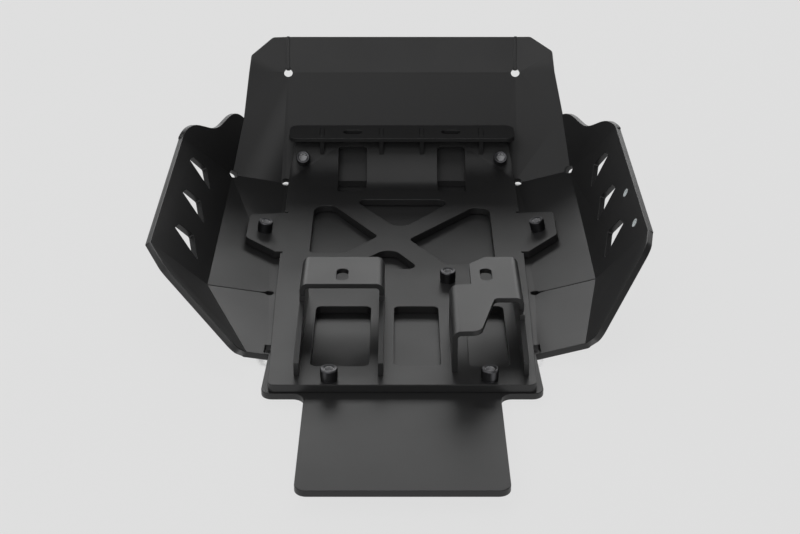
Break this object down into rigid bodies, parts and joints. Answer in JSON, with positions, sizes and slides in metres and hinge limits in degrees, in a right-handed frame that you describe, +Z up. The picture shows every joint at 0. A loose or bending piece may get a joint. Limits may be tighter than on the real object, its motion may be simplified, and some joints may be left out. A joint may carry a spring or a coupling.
{
  "type": "motorcycle skid plate",
  "caption": "Folded sheet tray that guards the underside of an engine, with an inner plate, a nose crossbar and two folded mounting brackets.",
  "frame": {"origin": "on the underside of the tray's flat floor, on the centre line, at the shallow cross fold", "axes": "+Y along the plate towards the nose, +Z up, +X to the right seen from behind"},
  "size_m": [0.3977, 0.6044, 0.1195],
  "materials": {
    "tray": "satin black powder coat",
    "support": "satin black powder coat",
    "bracket": "satin black powder coat",
    "screw": "black oxide",
    "insert": "zinc plated"
  },
  "bodies": {
    "root": {"skid_plate": "tray", "support_plate": "support", "crossbar": "support", "bracket_left": "bracket", "bracket_right": "bracket", "gusset_1": "support", "gusset_2": "support", "gusset_3": "support", "gusset_4": "support", "screw_1": "screw", "screw_2": "screw", "screw_3": "screw", "screw_4": "screw", "screw_5": "screw", "screw_6": "screw", "screw_7": "screw", "washer_1": "screw", "washer_2": "screw", "washer_3": "screw", "washer_4": "screw", "washer_5": "screw", "washer_6": "screw", "washer_7": "screw", "nut_1": "insert", "nut_2": "insert", "nut_3": "insert", "nut_4": "insert", "nut_5": "insert", "nut_6": "insert", "nut_7": "insert", "spacer_left": "insert", "spacer_right": "insert"}
  },
  "joints": []
}
